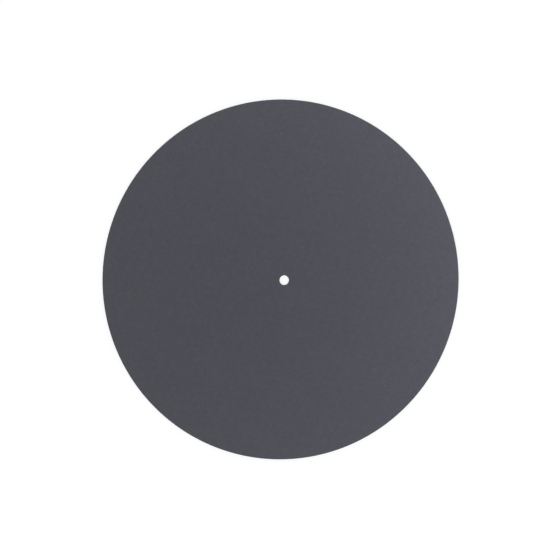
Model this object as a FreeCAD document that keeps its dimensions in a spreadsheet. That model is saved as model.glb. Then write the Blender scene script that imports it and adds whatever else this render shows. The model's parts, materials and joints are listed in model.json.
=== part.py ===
# A flat round turntable mat, cut with a knife die from one sheet of pressed felt.
# Frame: millimetres, origin at the centre of the underside, +Z up through the spindle hole.
import FreeCAD, Part
import os
import Sketcher

# Driving sizes: the name of each, its value and what it measures.
driving_sizes = (
    ("mat_diameter", 300.0, "across the mat, a little under a 12 inch record's 302"),
    ("mat_thickness", 2.0, "of the felt sheet"),
    ("spindle_diameter", 7.2, "of the platter's centre spindle"),
    ("spindle_clearance", 0.4, "free play between the spindle and the hole, all round"),
    ("top_roll_radius", 0.4, "round of the edges where the knife pushes into the felt"),
    ("bottom_break_radius", 0.15, "round of the edges where the knife comes out"),
)

# Sizes that follow from the driving ones. Neither round may take up the whole cut wall.
derived_sizes = (
    ("hole_diameter", "=spindle_diameter + 2 * spindle_clearance", "of the spindle hole"),
    ("top_roll", "=min(top_roll_radius; 0.5 * mat_thickness)", "top round that fits the wall"),
    ("bottom_break", "=min(bottom_break_radius; 0.3 * mat_thickness)", "lower round that fits"),
)


def fill_sheet(sheet):
    """Writes each size into its own row, with an alias to bind to."""
    for row, (name, value, meaning) in enumerate(driving_sizes + derived_sizes, start=1):
        sheet.set(f"A{row}", name)
        sheet.set(f"B{row}", str(value))
        sheet.set(f"C{row}", meaning)
        sheet.setAlias(f"B{row}", name)


def origin_plane(body, role):
    """The body's own plane with this role, such as XY_Plane."""
    return next(item for item in body.Origin.OriginFeatures if item.Role == role)


def circle_sketch(body, name, diameter_alias):
    """A circle about the origin on the body's base plane, as wide as the sheet says."""
    sketch = body.newObject("Sketcher::SketchObject", name)
    sketch.AttachmentSupport = [(origin_plane(body, "XY_Plane"), "")]
    sketch.MapMode = "FlatFace"
    diameter = float(body.Document.sizes.get(diameter_alias))
    centre = FreeCAD.Vector(0, 0, 0)
    up = FreeCAD.Vector(0, 0, 1)
    circle = sketch.addGeometry(Part.Circle(centre, up, diameter / 2), False)
    sketch.addConstraint(Sketcher.Constraint("Coincident", circle, 3, -1, 1))
    across = sketch.addConstraint(Sketcher.Constraint("Diameter", circle, diameter))
    sketch.renameConstraint(across, "across")
    sketch.setExpression("Constraints.across", f"sizes.{diameter_alias}")
    return sketch


def cut_edges(feature, height):
    """Names of the round edges that the knife leaves at this height: the rim's and the hole's."""
    near = 1e-6
    names = []
    for number, edge in enumerate(feature.Shape.Edges, start=1):
        level = abs(edge.BoundBox.ZMin - height) < near and abs(edge.BoundBox.ZMax - height) < near
        if level and isinstance(edge.Curve, Part.Circle):
            names.append(f"Edge{number}")
    return names


def round_edges(body, name, base, height, radius_alias):
    """Rounds the cut edges at one height and returns the new feature."""
    fillet = body.newObject("PartDesign::Fillet", name)
    fillet.Base = (base, cut_edges(base, height))
    fillet.setExpression("Radius", f"sizes.{radius_alias}")
    body.Document.recompute()
    return fillet


def make_mat(document):
    """The mat: a disc of felt, its spindle hole, and the rounds that die cutting leaves."""
    body = document.addObject("PartDesign::Body", "mat")
    body.Label = "mat"

    disc = body.newObject("PartDesign::Pad", "disc")
    disc.Profile = circle_sketch(body, "rim_line", "mat_diameter")
    disc.setExpression("Length", "sizes.mat_thickness")
    document.recompute()

    spindle_hole = body.newObject("PartDesign::Pocket", "spindle_hole")
    spindle_hole.Profile = circle_sketch(body, "hole_line", "hole_diameter")
    spindle_hole.Type = "ThroughAll"
    spindle_hole.Reversed = True
    document.recompute()

    top = float(document.sizes.get("mat_thickness"))
    rolled = round_edges(body, "knife_roll", spindle_hole, top, "top_roll")
    body.Tip = round_edges(body, "knife_exit", rolled, 0.0, "bottom_break")
    return body


def check_document(document):
    """Stops if any object failed, because a recompute alone doesn't say so."""
    for item in document.Objects:
        if "Invalid" in item.State or "Error" in item.State:
            raise RuntimeError(f"{item.Name} failed: {item.State}")


def check_solid(body):
    """Stops unless the piece is one valid solid that the hole really goes through."""
    shape = body.Shape
    if shape.isNull() or not shape.isValid() or len(shape.Solids) != 1:
        raise RuntimeError(f"{body.Label} isn't one valid solid")
    if shape.isInside(shape.BoundBox.Center, 1e-6, True):
        raise RuntimeError(f"{body.Label} has no spindle hole")


document = FreeCAD.newDocument("turntable_mat")
fill_sheet(document.addObject("Spreadsheet::Sheet", "sizes"))
document.recompute()

mat = make_mat(document)
document.recompute()
check_document(document)
check_solid(mat)

os.makedirs("parts", exist_ok=True)
mat.Shape.exportStep(f"parts/{mat.Label}.step")
print(f"{mat.Label}: volume {mat.Shape.Volume:.1f} mm3, {mat.Shape.optimalBoundingBox()}")
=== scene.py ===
# A flat round felt turntable mat, lying on a pale floor as it comes to rest.
import itertools
import json
import math
from functools import reduce

import bpy
import numpy as np
from mathutils import Matrix, Vector, noise
from mathutils.geometry import delaunay_2d_cdt


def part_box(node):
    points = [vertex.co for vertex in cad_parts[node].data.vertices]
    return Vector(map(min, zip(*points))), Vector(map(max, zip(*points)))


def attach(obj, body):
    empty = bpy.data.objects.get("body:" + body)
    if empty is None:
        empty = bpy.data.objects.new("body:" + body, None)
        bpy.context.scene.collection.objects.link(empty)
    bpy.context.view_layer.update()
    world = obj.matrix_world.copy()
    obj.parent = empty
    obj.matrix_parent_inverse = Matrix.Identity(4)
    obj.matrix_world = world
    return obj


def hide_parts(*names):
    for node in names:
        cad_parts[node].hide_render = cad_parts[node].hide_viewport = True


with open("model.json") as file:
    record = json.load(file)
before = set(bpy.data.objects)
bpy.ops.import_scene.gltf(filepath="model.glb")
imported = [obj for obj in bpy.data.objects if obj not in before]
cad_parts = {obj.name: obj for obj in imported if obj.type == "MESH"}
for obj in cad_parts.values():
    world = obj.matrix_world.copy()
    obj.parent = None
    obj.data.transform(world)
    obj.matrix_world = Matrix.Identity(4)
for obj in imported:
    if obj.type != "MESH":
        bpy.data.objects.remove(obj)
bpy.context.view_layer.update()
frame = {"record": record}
mm = 0.001


# Shader wiring

class Wire:
    # Wraps a value socket, so that a written sum adds its own Math nodes.
    def __init__(self, shader, socket):
        self.shader = shader
        self.socket = socket

    def output(self, name):
        # Another output of the node that this one comes from.
        return Wire(self.shader, self.socket.node.outputs[name])

    def maths(self, operation, first, second):
        return self.shader.add("Math", {"operation": operation}, {0: first, 1: second})

    def __add__(self, other):
        return self.maths("ADD", self, other)

    def __radd__(self, other):
        return self.maths("ADD", other, self)

    def __sub__(self, other):
        return self.maths("SUBTRACT", self, other)

    def __rsub__(self, other):
        return self.maths("SUBTRACT", other, self)

    def __mul__(self, other):
        return self.maths("MULTIPLY", self, other)

    def __rmul__(self, other):
        return self.maths("MULTIPLY", other, self)

    def larger(self, other):
        return self.maths("MAXIMUM", self, other)

    def above(self, limit):
        return self.maths("GREATER_THAN", self, limit)


class Shader:
    # The node tree of a material or a world, emptied to start with.
    def __init__(self, owner):
        owner.use_nodes = True
        self.tree = owner.node_tree
        self.tree.nodes.clear()

    def add(self, kind, settings=None, inputs=None, output=0):
        node = self.tree.nodes.new("ShaderNode" + kind)
        for name, value in (settings or {}).items():
            setattr(node, name, value)
        for name, value in (inputs or {}).items():
            if isinstance(value, Wire):
                self.tree.links.new(value.socket, node.inputs[name])
            else:
                node.inputs[name].default_value = value
        return Wire(self, node.outputs[output]) if node.outputs else None

    def vector(self, operation, inputs):
        return self.add("VectorMath", {"operation": operation}, inputs)

    def mixColours(self, factor, first, second):
        # A Mix node keeps its colour sockets after those for other data, so they go by place.
        return self.add("Mix", {"data_type": "RGBA"}, {0: factor, 6: first, 7: second}, 2)


# The felt's look

felt = {
    # the felt's colour between the hairs, with painted shade there, and on top of them, with a
    # painted highlight
    "darkFibre": (0.0577, 0.0585, 0.0692, 1),
    "paleFibre": (0.143, 0.145, 0.1714, 1),
    "hairs": (  # layers of hairs: their turn in degrees, length and width in mm
        (8, 3.6, 0.07),
        (41, 5.2, 0.06),
        (76, 4.2, 0.075),
        (113, 6.0, 0.06),
        (149, 4.8, 0.065),
    ),
    "looseHairs": ((23, 9, 0.06), (97, 8, 0.055), (163, 10, 0.06)),
    "looseShare": 0.07,  # of the hairs in those layers that lie on top
    "looseStrength": 1.25,  # how much higher they stand
    "wisps": ((31, 6, 0.5), (88, 8, 0.45), (140, 7, 0.55)),  # hairs that lie together
    "hairForm": (1.1, 1.7),  # height of a hair's middle, and how fast it falls to the sides
    "hairShades": 0.3,  # how far apart the hairs' own shades are
    "bend": (5, 0.9),  # mm from bend to bend, mm that a hair strays
    "bendNoise": {"Detail": 2.5, "Roughness": 0.4},
    "clumpSize": 1.4,  # mm
    "patches": ((3.5, 0.025), (24, 0.02)),  # size in mm, how much paler or darker
    "softDetail": 3,  # how fine the noise of clumps and patches gets
    "toneAndHighlightShares": (0.85, 0.15, 0.15),  # of hairs, wisps and clumps in the colour, which pales where they stand high: painted highlight on hair tops, painted shade between them
    "darkness": 0.39,  # how much of that is kept back
    "bumpShares": (1, 0.8, 0.8),  # of hairs, wisps and clumps in the bump
    "bumpHeight": 0.09 * mm,
    "bumpStrength": 0.6,
    "roughness": (0.84, 0.97),  # on top of a hair, and between the hairs
    "gloss": 0.12,
    "sheen": 0.08,
    "sheenRoughness": 0.55,
    "sheenTint": (0.86, 0.89, 1, 1),
}
noiseReach = 0.25  # how far Blender's noise texture goes either side of 0.5
layerStep = (22.6, 41.6, 7.3)  # mm, so that no two layers of hairs share their noise


def hairLayer(shader, place, hair, number):
    # Hairs are the cells of a stretched Voronoi pattern. Gives their height, and a shade for each.
    turn, length, width = hair
    size, stray = felt["bend"]
    middle, fall = felt["hairForm"]
    apart = shader.vector("ADD", {0: place, 1: [number * side for side in layerStep]})
    bend = shader.add("TexNoise", None, {"Vector": apart, "Scale": 1 / size, **felt["bendNoise"]},
                      "Color")
    curled = shader.vector("MULTIPLY_ADD", {0: bend, 1: (stray / noiseReach,) * 3, 2: apart})
    spun = shader.add("VectorRotate", {"rotation_type": "Z_AXIS"},
                      {"Vector": curled, "Angle": math.radians(turn)})
    stretched = shader.vector("MULTIPLY", {0: spun, 1: (1 / length, 1 / width, 1 / width)})
    cells = shader.add("TexVoronoi", None, {"Vector": stretched, "Scale": 1})
    shade = shader.add("SeparateColor", None, {"Color": cells.output("Color")})
    height = middle - fall * cells.output("Distance")
    return height.larger(0), shade


def softNoise(shader, place, size):
    return shader.add("TexNoise", None,
                      {"Vector": place, "Scale": 1 / size, "Detail": felt["softDetail"]})


def makeFelt():
    material = bpy.data.materials.new("pressedFelt")
    shader = Shader(material)
    metres = shader.add("TexCoord", output="Object")
    place = shader.vector("SCALE", {0: metres, "Scale": 1 / mm})
    numbers = itertools.count()

    def layers(kind):
        return [hairLayer(shader, place, hair, next(numbers)) for hair in felt[kind]]

    spread, loose = felt["hairShades"], felt["looseShare"]
    hairs = [height * (1 - spread + spread * shade) for height, shade in layers("hairs")]
    hairs += [felt["looseStrength"] * height * shade.above(1 - loose)
              for height, shade in layers("looseHairs")]
    hairs = reduce(Wire.larger, hairs)
    wisps = reduce(Wire.larger, [height * shade for height, shade in layers("wisps")])
    clumps = softNoise(shader, place, felt["clumpSize"])

    def together(shares):
        return hairs * shares[0] + wisps * shares[1] + clumps * shares[2]

    # The colour is paler where hairs, wisps and clumps stand high and darker where they sink: a
    # painted highlight on each hair's middle and painted shade in the gaps between hairs, besides
    # each hair's own shade and the clumps' mottling.
    colour = shader.mixColours(together(felt["toneAndHighlightShares"]) - felt["darkness"],
                               felt["darkFibre"], felt["paleFibre"])
    for size, share in felt["patches"]:
        patch = 1 + (softNoise(shader, place, size) - 0.5) * (share / noiseReach)
        colour = shader.vector("SCALE", {0: colour, "Scale": patch})
    normal = shader.add("Bump", None, {"Strength": felt["bumpStrength"],
                                       "Distance": felt["bumpHeight"],
                                       "Height": together(felt["bumpShares"])})
    smooth, rough = felt["roughness"]
    surface = shader.add("BsdfPrincipled", None, {
        "Base Color": colour,
        "Roughness": rough - hairs * (rough - smooth),
        "Normal": normal,
        "Specular IOR Level": felt["gloss"],
        "Sheen Weight": felt["sheen"],
        "Sheen Roughness": felt["sheenRoughness"],
        "Sheen Tint": felt["sheenTint"],
    })
    shader.add("OutputMaterial", None, {"Surface": surface})
    print(f"felt: {len(shader.tree.nodes)} nodes")
    return material


# The mat

mat = {
    "name": "feltMat",
    "node": "mat",
    "slot": "felt",
    "hole": "spindle_hole",  # its mount in the record
    "topSpacing": 1.15 * mm,  # between the points of the upper face
    "underSpacing": 3.4 * mm,
    "scatter": 0.22,  # how far a point strays, in spacings
    "margin": 0.6,  # between those points and the edges of the face, in spacings
    "seed": 11,  # of their straying
    "rimPoints": 820,
    "holePoints": 72,
    "rollRadius": 0.4 * mm,  # of the upper edges, where the knife goes in
    "breakRadius": 0.15 * mm,  # of the lower edges, where it comes out
    "waist": 0.04 * mm,  # how far the cut wall is hollowed between its edges
    "strips": (5, 4, 3),  # across the upper edge, the wall and the lower edge
    "relief": {"height": 0.05 * mm, "size": 3.2 * mm, "seed": 1},  # unevenness of the upper face
    "cutRelief": {"height": 0.05 * mm, "size": 1.6 * mm, "seed": 3},  # and of the cut walls
    "lie": {"height": 0.2 * mm, "size": 95 * mm, "seed": 5},  # how the sheet lifts off the floor
}
noiseStep = (17.1, 5.3, 9.7)  # from one seed's noise to the next


def circle(radius, count):
    angles = np.arange(count) * (2 * math.pi / count)
    return np.column_stack((np.cos(angles), np.sin(angles))) * radius


def scattered(spacing, inner, outer, draw):
    # Rows of points, each row half a step aside, that stray a little from their places.
    rowStep = spacing * math.sqrt(0.75)
    rows = int(outer / rowStep) + 1
    along = np.arange(-rows, rows + 1)
    x, y = np.meshgrid(along, along)
    x = (x + 0.5 * (y % 2)) * spacing
    y = y * rowStep
    points = np.column_stack((x.ravel(), y.ravel()))
    points += draw.uniform(-1, 1, points.shape) * mat["scatter"] * spacing
    reach = np.hypot(points[:, 0], points[:, 1])
    margin = mat["margin"] * spacing
    return points[(reach > inner + margin) & (reach < outer - margin)]


def fill(points, rimCount, holeCount):
    # Triangles between the outer loop and the inner one, which come first in points.
    loops = []
    for start, count in ((0, rimCount), (rimCount, holeCount)):
        loops += [(start + i, start + (i + 1) % count) for i in range(count)]
    wholeRound = 0  # asks for every triangle inside the rim, those across the hole among them
    nearness = 1e-9  # at which two points count as one
    made, _, faces, origins, *_ = delaunay_2d_cdt([Vector(p) for p in points], loops, [],
                                                  wholeRound, nearness)
    if len(made) != len(points):
        raise RuntimeError("two points of the felt's face fell together")
    corners = np.array([[origins[i][0] for i in face] for face in faces])
    onHole = (corners >= rimCount) & (corners < rimCount + holeCount)
    corners = corners[~onHole.all(axis=1)]  # none across the hole
    a, b, c = (points[corners[:, i]] for i in range(3))
    turn = (b[:, 0] - a[:, 0]) * (c[:, 1] - a[:, 1]) - (b[:, 1] - a[:, 1]) * (c[:, 0] - a[:, 0])
    corners[turn < 0] = corners[turn < 0][:, ::-1]  # so that all face the same way
    return corners


def cutSection(thickness):
    # The cut wall from top to bottom, as (how far out from the flat of the face, height).
    roll, edge = mat["rollRadius"], mat["breakRadius"]
    wall = thickness - roll - edge
    rollStrips, wallStrips, edgeStrips = mat["strips"]
    section = []
    for angle in np.radians(np.linspace(90, 0, rollStrips + 1)):
        section.append((roll * math.cos(angle), thickness - roll + roll * math.sin(angle)))
    for share in np.linspace(0, 1, wallStrips + 1)[1:-1]:
        hollow = mat["waist"] * math.sin(share * math.pi)
        section.append((roll - hollow, thickness - roll - share * wall))
    for angle in np.radians(np.linspace(0, -90, edgeStrips + 1)):
        section.append((roll - edge + edge * math.cos(angle), edge + edge * math.sin(angle)))
    return section


class Sheet:
    # The mat's points and faces, before the felt's unevenness.
    def __init__(self):
        self.points = []
        self.sides = []  # of each point: 1 on the upper face, -1 on the underside, 0 on a cut wall
        self.unrolled = []  # its distance from the middle, with the cut walls folded out flat
        self.faces = []
        self.upper = []  # whether a face belongs with the upper face in the flat layout

    def addPoints(self, flat, height, side, unrolled):
        first = len(self.points)
        self.points += [(x, y, height) for x, y in flat]
        self.sides += [side] * len(flat)
        self.unrolled += list(unrolled)
        return list(range(first, len(self.points)))

    def addFaces(self, faces, upper):
        self.faces += faces
        self.upper += [upper] * len(faces)

    def addWall(self, flatReach, outward, count, section):
        # A ring for each point of the section, joined by strips. outward is -1 at the hole.
        sides = [1] + [0] * (len(section) - 2) + [-1]
        steps = [0] + [math.dist(high, low) for high, low in zip(section, section[1:])]
        rings = []
        for (out, height), side, gone in zip(section, sides, itertools.accumulate(steps)):
            flat = circle(flatReach + outward * out, count)
            rings.append(self.addPoints(flat, height, side, [flatReach + outward * gone] * count))
        for high, low in zip(rings, rings[1:]):
            strip = [(high[i - 1], low[i - 1], low[i], high[i])[::outward] for i in range(count)]
            self.addFaces(strip, True)
        return rings[0], rings[-1]

    def addFace(self, rim, hole, spacing, draw):
        # A flat face between a ring of the rim and one of the hole, with scattered points.
        height, side = self.points[rim[0]][2], self.sides[rim[0]]
        holeReach, rimReach = (math.hypot(*self.points[ring[0]][:2]) for ring in (hole, rim))
        inside = scattered(spacing, holeReach, rimReach, draw)
        own = rim + hole + self.addPoints(inside, height, side, np.hypot(inside[:, 0], inside[:, 1]))
        flat = np.array([self.points[i][:2] for i in own])
        corners = np.array(own)[fill(flat, len(rim), len(hole))]
        self.addFaces(corners[:, ::side].tolist(), side > 0)


def waves(points, size, seed):
    # Soft noise from -1 to 1 at each point.
    shift = Vector([seed * step for step in noiseStep])
    return np.array([noise.noise(Vector(p) / size + shift) for p in points])


def unevenness(points, form):
    # Bumps of the form's size, with others half as wide and half as high.
    size, seed = form["size"], form["seed"]
    return (waves(points, size, seed) + 0.5 * waves(points, size / 2, seed + 1)) * form["height"]


def shapeFelt(sheet, thickness):
    # The flat, even sheet with the unevenness of felt, and the lie of a limp sheet on a floor.
    points = np.array(sheet.points)
    flat = points * (1, 1, 0)
    level = points[:, 2] / thickness
    lift = waves(flat, mat["lie"]["size"], mat["lie"]["seed"])
    lift = (lift - lift.min()) / np.ptp(lift)  # the lowest place touches the floor
    shaped = points.copy()
    shaped[:, 2] += unevenness(flat, mat["relief"]) * level + lift * mat["lie"]["height"]
    cut = np.array(sheet.sides) == 0
    reach = np.hypot(points[cut, 0], points[cut, 1])
    outward = points[cut, :2] / reach[:, None]
    outward[reach < reach.mean()] *= -1  # at the hole
    shaped[cut, :2] += outward * unevenness(points[cut], mat["cutRelief"])[:, None]
    return shaped


def layOut(mesh, sheet):
    # A flat layout for baking. The upper face and the cut walls make a big round, and the
    # underside a small one.
    big, small, edge = 0.4, 0.175, 0.005  # the two radii and a free edge, on the unit square
    points = np.array(sheet.points)
    reach = np.hypot(points[:, 0], points[:, 1])
    way = points[:, :2] / reach[:, None]
    unrolled = np.array(sheet.unrolled)
    upper = way * (unrolled / unrolled.max())[:, None] * (big - edge) + (big, 1 - big)
    under = way * (reach / reach.max())[:, None] * (small - edge) + (1 - small, small)
    corners = np.array([corner for face in sheet.faces for corner in face])
    isUpper = np.repeat(sheet.upper, [len(face) for face in sheet.faces])
    places = np.where(isUpper[:, None], upper[corners], under[corners])
    mesh.uv_layers.new(name="OFBake").data.foreach_set("uv", places.ravel())


def makeMat():
    low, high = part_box(mat["node"])
    thickness = high.z - low.z
    radius = (high.x - low.x) / 2
    bore = next(m for m in frame["record"]["mounts"] if m["name"] == mat["hole"])
    holeRadius = bore["dims"]["r_mm"] * mm

    sheet = Sheet()
    section = cutSection(thickness)
    draw = np.random.default_rng(mat["seed"])
    rims = sheet.addWall(radius - mat["rollRadius"], 1, mat["rimPoints"], section)
    holes = sheet.addWall(holeRadius + mat["rollRadius"], -1, mat["holePoints"], section)
    for rim, hole, spacing in zip(rims, holes, (mat["topSpacing"], mat["underSpacing"])):
        sheet.addFace(rim, hole, spacing, draw)

    mesh = bpy.data.meshes.new(mat["name"])
    mesh.from_pydata(shapeFelt(sheet, thickness).tolist(), [], sheet.faces)
    mesh.shade_smooth()
    layOut(mesh, sheet)
    mesh.materials.append(makeFelt())
    piece = bpy.data.objects.new(mat["name"], mesh)
    bpy.context.scene.collection.objects.link(piece)
    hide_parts(mat["node"])
    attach(piece, "root")
    math.pi * (radius ** 2 - holeRadius ** 2)
    triangles = sum(len(face) - 2 for face in sheet.faces)
    print(f"mat: {len(sheet.points)} points, {triangles} triangles")
    return piece


feltMat = makeMat()


# The floor and the white background

floor = {
    "name": "floor",
    "size": 6,  # metres
    "colour": (0.8, 0.8, 0.8, 1),
    "shaded": (0.35, 0.35, 0.35, 1),  # its colour to the camera, which keeps the mat's shade
    "glow": 0.804,  # light that the camera sees besides, so that the bare floor is white
}


def seenDirectly(shader):
    # 1 for rays from the camera, or that a mirror or glass sends on.
    path = shader.add("LightPath")
    glossy, through = path.output("Is Glossy Ray"), path.output("Is Transmission Ray")
    return path.output("Is Camera Ray").larger(glossy).larger(through)


def makeFloor():
    half = floor["size"] / 2
    corners = [(-half, -half, 0), (half, -half, 0), (half, half, 0), (-half, half, 0)]
    mesh = bpy.data.meshes.new(floor["name"])
    mesh.from_pydata(corners, [], [(0, 1, 2, 3)])
    plane = bpy.data.objects.new(floor["name"], mesh)
    bpy.context.scene.collection.objects.link(plane)
    material = bpy.data.materials.new("paleFloor")
    shader = Shader(material)
    plain = shader.add("BsdfDiffuse", None, {"Color": floor["colour"]})
    shaded = shader.add("BsdfDiffuse", None, {"Color": floor["shaded"]})
    glow = shader.add("Emission", None, {"Strength": floor["glow"]})
    white = shader.add("AddShader", None, {0: shaded, 1: glow})
    surface = shader.add("MixShader", None, {0: seenDirectly(shader), 1: plain, 2: white})
    shader.add("OutputMaterial", None, {"Surface": surface})
    mesh.materials.append(material)
    print("floor: made")


sky = {"colour": (0.98, 0.99, 1, 1), "strength": 0.578}


def makeWorld():
    world = bpy.data.worlds.new("studio")
    bpy.context.scene.world = world
    shader = Shader(world)
    dim = shader.add("Background", None, {"Color": sky["colour"], "Strength": sky["strength"]})
    white = shader.add("Background", None, {"Color": (1, 1, 1, 1), "Strength": 1})
    surface = shader.add("MixShader", None, {0: seenDirectly(shader), 1: dim, 2: white})
    shader.add("OutputWorld", None, {"Surface": surface})
    print("sky: made")


# Softboxes that stand round the mat, brighter towards one side. They light the mat alone, so that
# the floor keeps the sky's even light and the soft shadow at the mat's foot.
lampRing = {
    "count": 8,
    "reach": 0.35,  # metres from the middle of the mat
    "elevation": 18,  # degrees above the floor
    "size": 0.2,  # metres
    "power": 0.223,  # watts, the mean of them
    "lean": 0.537,  # how much brighter than the mean the bright side is
    "brightSide": 12.5,  # degrees from +X
    "pinch": 0.16,  # how much brighter than the mean two opposite sides are besides
    "pinchSide": 19.5,
}


def makeLamp(name, place, power, lit):
    light = bpy.data.lights.new(name, "AREA")
    light.shape = "DISK"
    light.size = lampRing["size"]
    light.energy = power
    lamp = bpy.data.objects.new(name, light)
    lamp.location = place
    lamp.rotation_euler = (-place).to_track_quat("-Z", "Y").to_euler()
    lamp.visible_camera = False
    lamp.light_linking.receiver_collection = lit
    bpy.context.scene.collection.objects.link(lamp)


def makeLampRing(piece):
    lit = bpy.data.collections.new("litByLamps")
    lit.objects.link(piece)
    up = math.radians(lampRing["elevation"])
    side, pinchSide = math.radians(lampRing["brightSide"]), math.radians(lampRing["pinchSide"])
    for number in range(lampRing["count"]):
        angle = 2 * math.pi * number / lampRing["count"]
        away = Vector((math.cos(angle) * math.cos(up), math.sin(angle) * math.cos(up), math.sin(up)))
        lean = lampRing["lean"] * math.cos(angle - side)
        pinch = lampRing["pinch"] * math.cos(2 * (angle - pinchSide))
        power = lampRing["power"] * (1 + lean + pinch)
        makeLamp(f"softbox{number}", away * lampRing["reach"], power, lit)
    print(f"lamps: {lampRing['count']} softboxes")


# The camera looks down on the mat, a little from the left, as the photograph does.
camera = {
    "place": (-154.65, 31.43, 1020.92),  # mm from the middle of the mat's upper face
    "aim": (-3.69, 0.18, 0),  # what it points at, the same way
    "lens": 79.74,  # mm
    "sensor": 36,  # mm
    "clip": (0.05, 20),  # metres
}


def makeCamera():
    data = bpy.data.cameras.new("camera")
    data.sensor_width = camera["sensor"]
    data.lens = camera["lens"]
    data.clip_start, data.clip_end = camera["clip"]
    holder = bpy.data.objects.new("camera", data)
    bpy.context.scene.collection.objects.link(holder)
    top = Vector((0, 0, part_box(mat["node"])[1].z))
    place = Vector(camera["place"]) * mm + top
    aim = Vector(camera["aim"]) * mm + top
    forward = (aim - place).normalized()
    right = forward.cross(Vector((0, 1, 0))).normalized()
    up = right.cross(forward)
    holder.rotation_mode = "QUATERNION"
    holder.rotation_quaternion = Matrix((right, up, -forward)).transposed().to_quaternion()
    holder.location = place
    bpy.context.scene.camera = holder
    print("camera: in place")


makeFloor()
makeWorld()
makeLampRing(feltMat)
makeCamera()
bpy.context.scene.view_settings.view_transform = "Standard"
